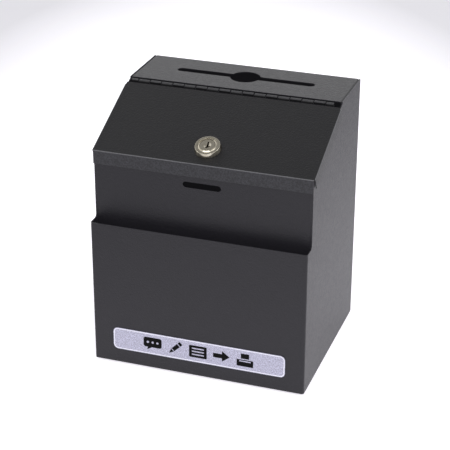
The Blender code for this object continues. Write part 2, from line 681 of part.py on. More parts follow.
def lock_plug():
    """Turning barrel with a dished face, a keyway, wafer slots and a flatted tail."""
    edge = 0.3 * MM
    head_bottom = PLUG_HEAD_FLOOR + GAP
    tail_end = CAM_MIDDLE - CAM_THICKNESS / 2 + 0.4 * MM
    bore = SCREW_SHANK_RADIUS + GAP
    bore_end = tail_end + SCREW_BORE_DEPTH
    profile = [
        (0, PLUG_FACE - 1.5 * MM),
        (1.4 * MM, PLUG_FACE - 1.3 * MM),
        (3.6 * MM, PLUG_FACE - 0.1 * MM),
        (4 * MM, PLUG_FACE),
        (PLUG_HEAD_RADIUS - edge, PLUG_FACE),
        (PLUG_HEAD_RADIUS, PLUG_FACE - edge),
        (PLUG_HEAD_RADIUS, head_bottom),
        (PLUG_RADIUS, head_bottom),
        (PLUG_RADIUS, PLUG_SHOULDER),
        (TAIL_RADIUS, PLUG_SHOULDER),
        (TAIL_RADIUS, tail_end),
        (bore, tail_end),
        (bore, bore_end),
        (0, bore_end),
    ]
    obj = turned("lock_plug", profile)
    combine(obj, flats_cutter("tail_flats_cutter", TAIL_HALF_FLAT, tail_end - 5 * MM, PLUG_SHOULDER))
    half_width = KEYWAY_WIDTH / 2
    half_length = KEYWAY_LENGTH / 2
    low = (-half_width, -half_length, PLUG_FACE - KEYWAY_DEPTH)
    high = (half_width, half_length, PLUG_FACE + 5 * MM)
    combine(obj, blocks("keyway_cutter", [(low, high)], LOCK_FRAME))
    slots = []
    for height in wafer_heights():
        reach = WAFER_THICKNESS / 2 + GAP
        slots.append(((-3 * MM, -7 * MM, height - reach), (3 * MM, 7 * MM, height + reach)))
    combine(obj, blocks("wafer_slot_cutter", slots, LOCK_FRAME))
    return paint(obj, NICKEL, 0.25, 1)


def lock_wafers():
    """Brass wafers drawn back inside the plug, as the key holds them."""
    loops = [rectangle(*WAFER_SIZE), rectangle(*WAFER_HOLE)]
    pieces = []
    for index, height in enumerate(wafer_heights()):
        frame = Matrix.Translation((0, 0, height))
        wafer = plate(f"lock_wafer_{index + 1}", loops, frame, WAFER_THICKNESS)
        pieces.append(paint(wafer, BRASS, 0.35, 1))
    return pieces


def lock_cam():
    """Steel arm on the plug's tail: it points aside when unlocked and into the slot when locked."""
    half = CAM_HALF_WIDTH
    leave_eye = math.asin(half / CAM_EYE_RADIUS)
    eye = arc(CAM_EYE_RADIUS, leave_eye, 2 * math.pi - leave_eye, 20)
    tip = rounded([
        (eye[-1].x, -half, 0),
        (CAM_LENGTH, -half, CAM_TIP_CORNER),
        (CAM_LENGTH, half, CAM_TIP_CORNER),
        (eye[0].x, half, 0),
    ])
    tail_hole = double_d(TAIL_RADIUS + GAP, TAIL_HALF_FLAT + GAP)
    frame = Matrix.Translation((0, 0, CAM_MIDDLE))
    obj = plate("lock_cam", [eye + tip[1:-1], tail_hole], frame, CAM_THICKNESS)
    return paint(obj, ZINC, 0.4, 1)


def cam_washer(top):
    """Washer between the cam and its screw, with its upper side at top."""
    frame = Matrix.Translation((0, 0, top - WASHER_THICKNESS / 2))
    loops = [circle(CAM_WASHER_RADIUS), circle(SCREW_SHANK_RADIUS + GAP, 16)]
    obj = plate("cam_washer", loops, frame, WASHER_THICKNESS)
    return paint(obj, ZINC, 0.4, 1)


def cam_screw(head_top):
    """Cross-head screw that holds the cam on the tail."""
    head_bottom = head_top - SCREW_HEAD_HEIGHT
    shank_top = head_top + SCREW_LENGTH
    profile = [
        (0, shank_top),
        (SCREW_SHANK_RADIUS, shank_top),
        (SCREW_SHANK_RADIUS, head_top),
        (SCREW_HEAD_RADIUS, head_top),
        (SCREW_HEAD_RADIUS, head_bottom + 1.1 * MM),
        (SCREW_HEAD_RADIUS - 0.8 * MM, head_bottom + 0.3 * MM),
        (SCREW_HEAD_RADIUS - 1.8 * MM, head_bottom),
        (0, head_bottom),
    ]
    obj = turned("cam_screw", profile, steps=24)
    low = head_bottom - CROSS_DEPTH
    deep = head_bottom + CROSS_DEPTH
    arms = [(CROSS_LENGTH / 2, CROSS_WIDTH / 2), (CROSS_WIDTH / 2, CROSS_LENGTH / 2)]
    for index, (x, y) in enumerate(arms):
        combine(obj, blocks(f"cross_cutter_{index + 1}", [((-x, -y, low), (x, y, deep))], LOCK_FRAME))
    return paint(obj, ZINC, 0.35, 1)


def cam_fastening():
    """Washer and screw under the cam."""
    washer_top = CAM_MIDDLE - CAM_THICKNESS / 2 - GAP
    return [cam_washer(washer_top), cam_screw(washer_top - WASHER_THICKNESS - GAP)]


# ---------------------------------------------------------------- the whole box

def main():
    for obj in list(bpy.data.objects):
        bpy.data.objects.remove(obj)

    side_and_pocket_wrap()
    back_and_top_panel()
    bottom_panel()
    inner_front_panel()
    feet()
    pocket_label()
    hinge_box_leaf()
    hinge_pin()

    hinge_axis = empty("lid_hinge_axis", HINGE_FRAME)
    for piece in (lid_panel(), hinge_lid_leaf()):
        hang(piece, hinge_axis)

    lock_axis = empty("lock_axis", LOCK_FRAME)
    hang(lock_axis, hinge_axis)
    turning = [lock_plug(), lock_cam(), *lock_wafers(), *cam_fastening()]
    for piece in [lock_housing(), *lock_nut_and_washer(), *turning]:
        piece.parent = lock_axis


main()
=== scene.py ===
"""Looks of the steel suggestion box: paint, nickel lock, printed label, floor, light and camera.

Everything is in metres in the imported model's frame: +X right, +Y to the back, +Z up.
"""

import json
import math

import bmesh
import bpy
from mathutils import Matrix, Vector


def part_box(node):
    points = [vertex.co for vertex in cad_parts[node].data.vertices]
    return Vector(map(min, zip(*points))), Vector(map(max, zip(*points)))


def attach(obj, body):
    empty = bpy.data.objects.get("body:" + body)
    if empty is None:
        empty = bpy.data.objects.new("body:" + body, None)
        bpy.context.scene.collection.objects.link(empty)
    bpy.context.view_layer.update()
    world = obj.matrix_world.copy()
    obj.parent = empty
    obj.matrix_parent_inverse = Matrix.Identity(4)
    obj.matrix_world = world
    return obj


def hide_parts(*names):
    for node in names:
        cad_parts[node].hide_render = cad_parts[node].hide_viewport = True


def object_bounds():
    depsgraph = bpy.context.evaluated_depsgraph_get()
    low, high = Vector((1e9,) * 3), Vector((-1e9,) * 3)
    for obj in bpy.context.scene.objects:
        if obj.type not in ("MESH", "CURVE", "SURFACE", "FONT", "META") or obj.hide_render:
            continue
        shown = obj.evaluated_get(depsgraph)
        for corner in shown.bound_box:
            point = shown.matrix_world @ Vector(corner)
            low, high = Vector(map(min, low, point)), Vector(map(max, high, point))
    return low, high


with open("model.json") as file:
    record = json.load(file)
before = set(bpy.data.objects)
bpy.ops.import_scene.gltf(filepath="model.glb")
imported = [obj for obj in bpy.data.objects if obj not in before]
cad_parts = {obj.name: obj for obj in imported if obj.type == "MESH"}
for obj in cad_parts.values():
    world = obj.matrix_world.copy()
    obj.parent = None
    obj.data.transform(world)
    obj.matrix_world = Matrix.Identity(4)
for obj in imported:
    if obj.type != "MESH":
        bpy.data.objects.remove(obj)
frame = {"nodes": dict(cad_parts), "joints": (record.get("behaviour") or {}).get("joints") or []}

MM = 0.001
CAD_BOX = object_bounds()
NODES = frame["nodes"]

# Camera
AZIMUTH = math.radians(18.88)
ELEVATION = math.radians(25.55)
ROLL = math.radians(0.167)
DISTANCE = 1.5035
LENS = 121.1
AIM_RIGHT = -2.4 * MM         # camera's centre line, beside and above the aimed-at point
AIM_UP = 1.9 * MM
AIM = Vector((0, 1.9 * MM, 121.8 * MM))

# Sheet metal
EDGE_ROUNDING = 0.22 * MM
SMALL_ROUNDING = 0.15 * MM
BARREL_RADIUS = 2 * MM        # of the hinge
SMOOTH_ANGLE = math.radians(32)
SEAM_WIDTH = 1.7 * MM         # paint that fills the joint beside the inner front panel
SEAM_RISE = 0.6 * MM
SEAM_DEPTH = 1.0 * MM
SEAM_REACH = 0.28 * MM        # across the gap to the side panel

# Paint
CASE_TONE = (0.0040, 0.0034, 0.0060)
LID_TONE = (0.0030, 0.0030, 0.0036)
FRONT_PAINTED_LIGHT = 5.0          # painted light: how much paler the lid's front flange is painted than the rest of the lid
# painted highlight along the lid's bends
BEND_HIGHLIGHT_TONE = (0.12, 0.12, 0.128, 1)
LID_BEND_HIGHLIGHTS = ((0, -0.84, 0.54), (0.71, -0.28, 0.65), (-0.71, -0.28, 0.65))  # directions the lid's bends look in, each given a painted highlight
FORWARD = (0, -1, 0)
PAINTED_HIGHLIGHT_SIDE = (0, -0.26, 0.97)  # the hinge barrel's upper side, which gets a painted highlight
SHADE_LIFT_GLOW = (0.0056, 0.0054, 0.0063, 1)  # faint painted glow that lifts the paint's deepest shade, even where no light reaches

# Plating, rubber and label tones
NICKEL_TONE = (0.50, 0.465, 0.385)
ZINC_TONE = (0.60, 0.60, 0.58)
BRASS_TONE = (0.78, 0.6, 0.28)
FILM_TONE = (0.39, 0.385, 0.485)
BORDER_TONE = (0.74, 0.74, 0.82)

# Lock, radii and heights above the lid's outer face
TURN_STEPS = 128
HEAD_RADIUS = 13.1 * MM
RING_RADIUS = 11.9 * MM
RING_LEVEL = 4.6 * MM
RING_ROUNDING = 0.5 * MM
DISC_RADIUS = 9.1 * MM
DISC_LEVEL = 5.1 * MM
DISC_SLOPE = 1.4 * MM         # width and drop of the disc's sloping rim
DISC_DROP = 0.9 * MM
GROOVE_WIDTH = 0.2 * MM
THREAD_PITCH = 1 * MM
THREAD_DEPTH = 0.45 * MM
THREAD_RADIUS = 9.4 * MM
THREAD_HALF_FLAT = 8 * MM
SHANK_END = -19.8 * MM
BORE_RADIUS = 6.7 * MM
RECESS_RADIUS = 7.35 * MM     # of the bore's wider mouth, which the plug's head sits in
RECESS_FLOOR = 3 * MM
PLUG_FACE = 4.9 * MM
PLUG_HEAD_RADIUS = 7.2 * MM
PLUG_HEAD_FLOOR = 3.3 * MM
PLUG_RADIUS = 6.4 * MM
PLUG_END = -20.7 * MM
TAIL_RADIUS = 4.4 * MM
TAIL_HALF_FLAT = 3.2 * MM
TAIL_END = -22.4 * MM
TAIL_BORE_RADIUS = 1.9 * MM
TAIL_BORE_END = -17.4 * MM
DISH_DEPTH = 1.5 * MM
KEYWAY_WIDTH = 1.7 * MM
KEYWAY_LENGTH = 7.8 * MM
KEYWAY_DEPTH = 17 * MM
WAFERS = 5
WAFER_PITCH = 3 * MM
FIRST_WAFER = -0.5 * MM
WAFER_SLOT_HALF = (3 * MM, 7 * MM, 0.75 * MM)
CUT_REACH = 20 * MM           # far enough to clear the lock on every side
CUT_DEPTH = -30 * MM

# Label
LABEL_CORNER = 5 * MM
BORDER_WIDTH = 0.9 * MM
BORDER_INSET = 0.5 * MM
PRINT_THICKNESS = 0.04 * MM
PRINT_HEIGHT = 14 * MM
PRINT_GAP = 0.01 * MM

# Studio: the world's brightness by height, from the horizon and below (0) to overhead (1)
SKY_STOPS = ((0.0, 1.3), (0.45, 1.3), (0.85, 0.45), (1.0, 0.35))
DARK_CORNER = (-0.31, -0.91, 0.27)  # unlit part of the studio, in front and a little left
DARK_CORNER_EDGES = (0.80, 0.95)    # cosines at its outer and inner edge
DARK_CORNER_LEVEL = 0.3

# Lights: name, place, width, height and power in watts
LIGHTS = (
    ("right_softbox", (1.6, 0.3, 1.0), 1.0, 1.0, 4),
    ("front_softbox", (0.0, -1.45, 1.5), 2.2, 0.55, 11),
    ("left_softbox", (-1.8, -0.72, 0.5), 0.5, 0.7, 3),
    ("high_softbox", (1.0, -0.3, 1.4), 1.3, 0.3, 2.6),
)

# Floor
FLOOR_SIZE = 14
POOL_MIDDLE = (-0.09, 0.26, 0)
POOL_SIZE = (0.27, 0.6, 1)
FLOOR_GLOW = 0.55             # painted glow in the pool, fading to nothing round it


# ---------------------------------------------------------------- node material tools

class Shader:
    """A material being built: each method adds one node and returns its output socket."""

    def __init__(self, name):
        self.material = bpy.data.materials.new(name)
        self.material.use_nodes = True
        self.tree = self.material.node_tree
        self.principled = self.tree.nodes["Principled BSDF"]
        coordinates = self.tree.nodes.new("ShaderNodeTexCoord")
        self.place = coordinates.outputs["Object"]
        self.facing = coordinates.outputs["Normal"]

    def feed(self, socket, value):
        """Connect an output socket to an input, or set the input to a plain value."""
        if isinstance(value, bpy.types.NodeSocket):
            self.tree.links.new(value, socket)
        else:
            socket.default_value = value

    def set(self, **inputs):
        """Set or connect the Principled shader's inputs, named with _ for a space."""
        for name, value in inputs.items():
            self.feed(self.principled.inputs[name.replace("_", " ")], value)

    def stretched(self, scale):
        """The object's coordinates, scaled by a different amount along each axis."""
        node = self.tree.nodes.new("ShaderNodeMapping")
        self.feed(node.inputs["Vector"], self.place)
        node.inputs["Scale"].default_value = scale
        return node.outputs["Vector"]

    def noise(self, scale, detail=2, roughness=0.5, place=None):
        node = self.tree.nodes.new("ShaderNodeTexNoise")
        self.feed(node.inputs["Vector"], place or self.place)
        node.inputs["Scale"].default_value = scale
        node.inputs["Detail"].default_value = detail
        node.inputs["Roughness"].default_value = roughness
        return node.outputs["Fac"]

    def cells(self, scale, smoothness):
        """Rounded cells, as the distance to the nearest cell's middle."""
        node = self.tree.nodes.new("ShaderNodeTexVoronoi")
        node.feature = "SMOOTH_F1"
        self.feed(node.inputs["Vector"], self.place)
        node.inputs["Scale"].default_value = scale
        node.inputs["Smoothness"].default_value = smoothness
        return node.outputs["Distance"]

    def spread(self, value, low, high, to_low, to_high):
        """Map low..high to to_low..to_high, held at both ends."""
        node = self.tree.nodes.new("ShaderNodeMapRange")
        self.feed(node.inputs["Value"], value)
        node.inputs["From Min"].default_value = low
        node.inputs["From Max"].default_value = high
        node.inputs["To Min"].default_value = to_low
        node.inputs["To Max"].default_value = to_high
        return node.outputs["Result"]

    def distance(self, middle, turn, size):
        """Distance from a point, in units of an oval's half axes, which are turned about Z."""
        node = self.tree.nodes.new("ShaderNodeMapping")
        node.vector_type = "TEXTURE"
        self.feed(node.inputs["Vector"], self.place)
        node.inputs["Location"].default_value = middle
        node.inputs["Rotation"].default_value = (0, 0, turn)
        node.inputs["Scale"].default_value = size
        length = self.tree.nodes.new("ShaderNodeVectorMath")
        length.operation = "LENGTH"
        self.feed(length.inputs[0], node.outputs["Vector"])
        return length.outputs["Value"]

    def towards(self, direction, low, high):
        """1 on faces that look in a direction of the object's own axes, 0 on the others.

        Low and high are the cosines between which it fades in.
        """
        node = self.tree.nodes.new("ShaderNodeVectorMath")
        node.operation = "DOT_PRODUCT"
        self.feed(node.inputs[0], self.facing)
        node.inputs[1].default_value = direction
        return self.spread(node.outputs["Value"], low, high, 0, 1)

    def mix(self, factor, first, second):
        """Blend two colours."""
        node = self.tree.nodes.new("ShaderNodeMix")
        node.data_type = "RGBA"
        self.feed(node.inputs["Factor"], factor)
        self.feed(node.inputs["A"], first)
        self.feed(node.inputs["B"], second)
        return node.outputs["Result"]

    def scaled(self, colour, factor):
        """A colour made paler or darker by a factor."""
        node = self.tree.nodes.new("ShaderNodeVectorMath")
        node.operation = "SCALE"
        self.feed(node.inputs[0], colour)
        self.feed(node.inputs["Scale"], factor)
        return node.outputs["Vector"]

    def times(self, first, second):
        return self.arithmetic("MULTIPLY", first, second)

    def plus(self, first, second):
        return self.arithmetic("ADD", first, second)

    def arithmetic(self, operation, first, second):
        node = self.tree.nodes.new("ShaderNodeMath")
        node.operation = operation
        self.feed(node.inputs[0], first)
        self.feed(node.inputs[1], second)
        return node.outputs["Value"]

    def worn_edge(self, radius):
        """0 on flat faces, rising to about 1 along edges sharper than the radius."""
        bevel = self.tree.nodes.new("ShaderNodeBevel")
        bevel.samples = 4
        bevel.inputs["Radius"].default_value = radius
        geometry = self.tree.nodes.new("ShaderNodeNewGeometry")
        dot = self.tree.nodes.new("ShaderNodeVectorMath")
        dot.operation = "DOT_PRODUCT"
        self.feed(dot.inputs[0], bevel.outputs["Normal"])
        self.feed(dot.inputs[1], geometry.outputs["Normal"])
        return self.spread(dot.outputs["Value"], 0.995, 0.85, 0, 1)

    def bump(self, height, distance, strength):
        node = self.tree.nodes.new("ShaderNodeBump")
        self.feed(node.inputs["Height"], height)
        node.inputs["Distance"].default_value = distance
        node.inputs["Strength"].default_value = strength
        self.feed(self.principled.inputs["Normal"], node.outputs["Normal"])


# ---------------------------------------------------------------- materials

def shade(tone, factor, lift=0.0):
    """A tone made paler or darker, as a colour with alpha."""
    return (*(channel * factor + lift for channel in tone), 1)


def powder_coat(name, tone, roughness, wear, front=1.0, bends=()):
    """Charcoal powder coat: fine wrinkle, slight clouding, edges worn a little lighter.

    The coat is painted front times as pale on the faces that look forward, as painted light. It
    gets a painted highlight too where the surface looks in one of the bends' directions.
    """
    shader = Shader(name)
    clouds = shader.noise(9, detail=3)
    grain = shader.noise(1500, detail=3, roughness=0.6)
    wrinkle = shader.cells(900, smoothness=0.8)
    cloudy = shader.mix(shader.spread(clouds, 0.35, 0.65, 0, 1), shade(tone, 0.94), shade(tone, 1.06))
    colour = shader.mix(shader.spread(grain, 0.56, 0.74, 0, 0.45), cloudy, shade(tone, 2.6))
    # painted light: forward-facing faces painted paler
    if front != 1:
        colour = paint_front_light_and_peel(shader, colour, front)
    edge = shader.times(shader.worn_edge(0.7 * MM), shader.spread(grain, 0.4, 0.6, 0.35, 1))
    colour = shader.mix(shader.times(edge, wear), colour, shade(tone, 2.6, 0.02))
    # painted highlight where the surface looks in a bend's direction
    for direction in bends:
        patchy = shader.spread(grain, 0.3, 0.6, 0.5, 1)
        bend_highlight = shader.times(shader.towards(direction, 0.88, 0.97), patchy)
        colour = shader.mix(bend_highlight, colour, BEND_HIGHLIGHT_TONE)
    gloss = shader.spread(shader.noise(300, detail=3), 0.3, 0.7, roughness - 0.03, roughness + 0.03)
    shader.set(Base_Color=colour, Roughness=gloss, Specular_IOR_Level=0.38)
    # the emission is a faint painted glow that lifts the coat's deepest shade
    shader.set(Emission_Color=SHADE_LIFT_GLOW, Emission_Strength=1)
    relief = shader.plus(shader.times(wrinkle, 1.4), grain)
    relief = shader.plus(relief, shader.times(shader.noise(520, detail=1), 1.5))
    shader.bump(relief, 0.13 * MM, 1.0)
    return shader.material


def paint_front_light_and_peel(shader, colour, front):
    """The colour painted paler on the faces that look forward, as painted light, and given an
    orange-peel mottle there.
    """
    ahead = shader.towards(FORWARD, 0.75, 0.95)
    colour = shader.scaled(colour, shader.spread(ahead, 0, 1, 1, front))
    peel = shader.spread(shader.noise(620, detail=2), 0.38, 0.62, 0.6, 1.4)
    return shader.mix(ahead, colour, shader.scaled(colour, peel))


def hinge_coat(name):
    """Thin coat, painted pale on the knuckles' upper side as a highlight and painted near-black
    elsewhere as the shade in the gap beside them.
    """
    axis = Vector(joint("lid_hinge")["pos_m"])
    shader = Shader(name)
    grain = shader.noise(1200, detail=3)
    from_axis = shader.distance((0, axis.y, axis.z), 0, (1000, BARREL_RADIUS, BARREL_RADIUS))
    on_barrel = shader.spread(from_axis, 1.03, 1.1, 1, 0)
    # painted highlight on the barrel's upper side, with some metallic sheen and gloss
    barrel_highlight = shader.times(on_barrel, shader.towards(PAINTED_HIGHLIGHT_SIDE, 0.66, 0.82))
    patchy = shader.times(barrel_highlight, shader.spread(grain, 0.3, 0.6, 0.75, 1))
    # near-black is painted shade; the paler colour is the painted highlight
    colour = shader.mix(patchy, (0.002, 0.002, 0.002, 1), (0.06, 0.06, 0.063, 1))
    shader.set(Base_Color=colour, Metallic=shader.times(barrel_highlight, 0.4))
    shader.set(Roughness=shader.spread(grain, 0.3, 0.7, 0.36, 0.44))
    shader.set(Specular_IOR_Level=shader.spread(barrel_highlight, 0, 1, 0.03, 0.38))
    # the emission is a faint painted glow that lifts the coat's deepest shade
    shader.set(Emission_Color=SHADE_LIFT_GLOW, Emission_Strength=1)
    shader.bump(grain, 0.06 * MM, 0.5)
    return shader.material


def plated_metal(name, tone, roughness, smudge):
    """Bright plating with faint polishing lines and handling smudges."""
    shader = Shader(name)
    clouds = shader.noise(260, detail=3)
    lines = shader.noise(900, detail=2, place=shader.stretched((1, 1, 14)))
    dull = (tone[0] * 0.8, tone[1] * 0.78, tone[2] * 0.72, 1)
    colour = shader.mix(shader.spread(clouds, 0.4, 0.7, 0, smudge), (*tone, 1), dull)
    gloss = shader.spread(clouds, 0.35, 0.7, roughness, roughness + 0.08)
    shader.set(Base_Color=colour, Metallic=1.0, Roughness=gloss)
    shader.bump(lines, 0.012 * MM, 0.2)
    return shader.material


def rubber(name):
    """Matte black rubber with a faint moulded grain."""
    shader = Shader(name)
    grain = shader.noise(1800, detail=3)
    colour = shader.mix(grain, (0.012, 0.012, 0.012, 1), (0.03, 0.03, 0.03, 1))
    shader.set(Base_Color=colour, Roughness=0.78)
    shader.bump(grain, 0.08 * MM, 0.6)
    return shader.material


def silver_film(name, tone, sparkle):
    """Silver label film: fine metallic flecks under a satin face."""
    shader = Shader(name)
    flecks = shader.noise(1300, detail=3, roughness=0.7)
    clouds = shader.noise(60, detail=2)
    spread = shader.spread(flecks, 0.38, 0.62, 0, 1)
    speckled = shader.mix(spread, shade(tone, 1 - sparkle), shade(tone, 1 + sparkle))
    colour = shader.mix(shader.spread(clouds, 0.3, 0.7, 0, 0.25), speckled, shade(tone, 1))
    gloss = shader.spread(flecks, 0.3, 0.7, 0.3, 0.42)
    shader.set(Base_Color=colour, Roughness=gloss, Metallic=0.15)
    shader.bump(flecks, 0.01 * MM, 0.4)
    return shader.material


def ink(name):
    """Dense black print, with the slight mottle of screen ink."""
    shader = Shader(name)
    mottle = shader.noise(700, detail=3)
    colour = shader.mix(mottle, (0.001, 0.001, 0.001, 1), (0.005, 0.005, 0.005, 1))
    shader.set(Base_Color=colour, Roughness=shader.spread(mottle, 0.3, 0.7, 0.6, 0.75))
    shader.set(Specular_IOR_Level=0.08)
    shader.bump(mottle, 0.01 * MM, 0.3)
    return shader.material


def floor_paint(name):
    """Plain pale floor with a painted pool of light: it glows brightest in a soft oval round the box.
    """
    shader = Shader(name)
    tone = shader.mix(shader.noise(3, detail=2), (0.86, 0.85, 0.89, 1), (0.9, 0.89, 0.93, 1))
    # painted pool of light: the floor glows in an oval round the box
    pool = shader.spread(shader.distance(POOL_MIDDLE, AZIMUTH, POOL_SIZE), 1.0, 1.8, 1, 0)
    glow = shader.times(pool, FLOOR_GLOW)
    shader.set(Base_Color=tone, Roughness=0.9, Specular_IOR_Level=0.2,
               Emission_Color=(1, 0.975, 1.03, 1), Emission_Strength=glow)
    return shader.material


# ---------------------------------------------------------------- geometry tools

def new_object(name, mesh, world=Matrix.Identity(4)):
    obj = bpy.data.objects.new(name, mesh)
    bpy.context.scene.collection.objects.link(obj)
    obj.matrix_world = world
    return obj


def finish_piece(obj, body, material, replaced=()):
    """Smooth shading, finish and place in the model for a piece made here."""
    obj.data.materials.append(material)
    obj.data.shade_smooth()
    obj.data.set_sharp_from_angle(angle=SMOOTH_ANGLE)
    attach(obj, body)
    if replaced:
        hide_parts(*replaced)


def round_edges(obj, width):
    """Small rounding of an object's sharp edges, on top of its own mesh."""
    weld = obj.modifiers.new("weld", "WELD")
    weld.merge_threshold = 0.002 * MM
    bevel = obj.modifiers.new("edges", "BEVEL")
    bevel.width = width
    bevel.segments = 2
    bevel.limit_method = "ANGLE"
    bevel.angle_limit = math.radians(40)
    flatten_shading(obj)


def flatten_shading(obj):
    """Let the large flat faces set the normals, so that shading turns only along the bends."""
    normals = obj.modifiers.new("normals", "WEIGHTED_NORMAL")
    normals.mode = "FACE_AREA_WITH_ANGLE"
    normals.weight = 100
    normals.keep_sharp = True


def rounded(corners, steps=6):
    """Path through (x, y, radius) corners, with an arc at every corner that has a radius."""
    points = []
    for index, (x, y, radius) in enumerate(corners):
        corner = Vector((x, y))
        if radius == 0:
            points.append(corner)
            continue
        before = Vector(corners[index - 1][:2]) - corner
        after = Vector(corners[(index + 1) % len(corners)][:2]) - corner
        half_angle = before.angle(after) / 2
        inward = (before.normalized() + after.normalized()).normalized()
        centre = corner + inward * radius / math.sin(half_angle)
        setback = radius / math.tan(half_angle)
        start = corner + before.normalized() * setback - centre
        end = corner + after.normalized() * setback - centre
        for step in range(steps + 1):
            points.append(centre + start.slerp(end, step / steps).normalized() * radius)
    return points


def rectangle(width, height, radius, centre=(0, 0)):
    x, y = width / 2, height / 2
    cx, cy = centre
    corners = [(cx + x, cy - y, radius), (cx + x, cy + y, radius), (cx - x, cy + y, radius),
               (cx - x, cy - y, radius)]
    return rounded(corners, steps=10)


def circle(radius, centre, steps):
    middle = Vector(centre)
    angles = [2 * math.pi * step / steps for step in range(steps)]
    return [middle + Vector((radius * math.cos(angle), radius * math.sin(angle))) for angle in angles]


def plate(name, loops, thickness, world):
    """Flat plate or prism of an outline, where a loop inside another is a hole."""
    curve = bpy.data.curves.new(name, "CURVE")
    curve.dimensions = "2D"
    curve.fill_mode = "BOTH"
    curve.extrude = thickness / 2
    for loop in loops:
        spline = curve.splines.new("POLY")
        spline.points.add(len(loop) - 1)
        for point, place in zip(spline.points, loop):
            point.co = (place.x, place.y, 0, 1)
        spline.use_cyclic_u = True
    outline = new_object(name + "_outline", curve)
    bpy.context.view_layer.update()
    evaluated = outline.evaluated_get(bpy.context.evaluated_depsgraph_get())
    mesh = bpy.data.meshes.new_from_object(evaluated)
    bpy.data.objects.remove(outline)
    bm = bmesh.new()
    bm.from_mesh(mesh)
    bmesh.ops.remove_doubles(bm, verts=bm.verts, dist=0.0005 * MM)
    bm.normal_update()
    bmesh.ops.recalc_face_normals(bm, faces=bm.faces)
    bm.to_mesh(mesh)
    bm.free()
    return new_object(name, mesh, world)


def turned(name, profile, world, ring=False):
    """Solid turned about its own Z from a (radius, height) profile that runs down its outer side."""
    points = [(point[0], 0, point[1]) for point in profile]
    edges = [(index, index + 1) for index in range(len(points) - 1)]
    if ring:
        edges.append((len(points) - 1, 0))
    mesh = bpy.data.meshes.new(name)
    mesh.from_pydata(points, edges, [])
    obj = new_object(name, mesh, world)
    screw = obj.modifiers.new("turn", "SCREW")
    screw.steps = TURN_STEPS
    screw.render_steps = TURN_STEPS
    screw.use_merge_vertices = True
    screw.merge_threshold = 0.003 * MM
    return apply_modifiers(obj)


def apply_modifiers(obj):
    """Replace an object's mesh by what its modifiers make of it."""
    bpy.context.view_layer.update()
    evaluated = obj.evaluated_get(bpy.context.evaluated_depsgraph_get())
    mesh = bpy.data.meshes.new_from_object(evaluated)
    obj.modifiers.clear()
    obj.data = mesh
    return obj


def cut_blocks(obj, boxes, world):
    """Cut boxes, given by their low and high corners in the world frame's axes, from an object."""
    bm = bmesh.new()
    for low, high in boxes:
        low, high = Vector(low), Vector(high)
        place = Matrix.Translation((low + high) / 2) @ Matrix.Diagonal((*(high - low), 1))
        bmesh.ops.create_cube(bm, size=1, matrix=place)
    mesh = bpy.data.meshes.new("blocks")
    bm.to_mesh(mesh)
    bm.free()
    tool = new_object("blocks", mesh, world)
    boolean = obj.modifiers.new("cut", "BOOLEAN")
    boolean.solver = "EXACT"
    boolean.object = tool
    apply_modifiers(obj)
    bpy.data.objects.remove(tool)


# ---------------------------------------------------------------- frames taken from the model

def joint(name):
    return next(item for item in frame["joints"] if item["name"] == name)


def lock_frame():
    """Z out of the lid along the lock's axis, Y up the lid's slope, X across."""
    turn = joint("lock_turn")
    out = -Vector(turn["axis"]).normalized()
    across = Vector((1, 0, 0))
    up_slope = out.cross(across)
    rotation = Matrix((across, up_slope, out)).transposed().to_4x4()
    return Matrix.Translation(turn["pos_m"]) @ rotation


def label_frame():
    """X to the right and Y up on the label's face, Z towards the user."""
    low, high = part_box("pocket_label")
    middle = Vector(((low.x + high.x) / 2, low.y, (low.z + high.z) / 2))
    return Matrix.Translation(middle) @ Matrix.Rotation(math.pi / 2, 4, "X")


# ---------------------------------------------------------------- sheet metal, hinge and feet

def finish_cad_node(name, material, rounding=EDGE_ROUNDING):
    node = NODES[name]
    node.data.materials.clear()
    node.data.materials.append(material)
    node.data.shade_smooth()
    node.data.set_sharp_from_angle(angle=SMOOTH_ANGLE)
    if rounding:
        round_edges(node, rounding)


def finish_sheet_metal():
    case = powder_coat("case_powder_coat", CASE_TONE, 0.42, 0.5)
    lid = powder_coat("lid_powder_coat", LID_TONE, 0.44, 0.8, front=FRONT_PAINTED_LIGHT, bends=LID_BEND_HIGHLIGHTS)
    hinge = hinge_coat("hinge_powder_coat")
    for name in ("side_and_pocket_wrap", "back_and_top_panel", "bottom_panel", "inner_front_panel"):
        finish_cad_node(name, case)
    finish_cad_node("lid_panel", lid)
    for name in ("hinge_box_leaf", "hinge_lid_leaf"):
        finish_cad_node(name, hinge, 0.12 * MM)
    finish_cad_node("hinge_pin", case, SMALL_ROUNDING)
    make_seams(case)


def make_seams(coat):
    """Thick paint in the joints between the inner front panel's folded ends and the sides."""
    low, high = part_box("inner_front_panel")
    top = high.z - 1.5 * MM
    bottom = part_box("bottom_panel")[1].z + 1 * MM
    for name, end, inward in (("seam_left", low.x, 1), ("seam_right", high.x, -1)):
        outline = [
            Vector((end - inward * SEAM_REACH, low.y - SEAM_RISE)),
            Vector((end + inward * SEAM_WIDTH, low.y - 0.02 * MM)),
            Vector((end + inward * SEAM_WIDTH, low.y + 0.3 * MM)),
            Vector((end - inward * SEAM_REACH, low.y + SEAM_DEPTH)),
        ]
        middle = Matrix.Translation((0, 0, (bottom + top) / 2))
        finish_piece(plate(name, [outline], top - bottom, middle), "box", coat)


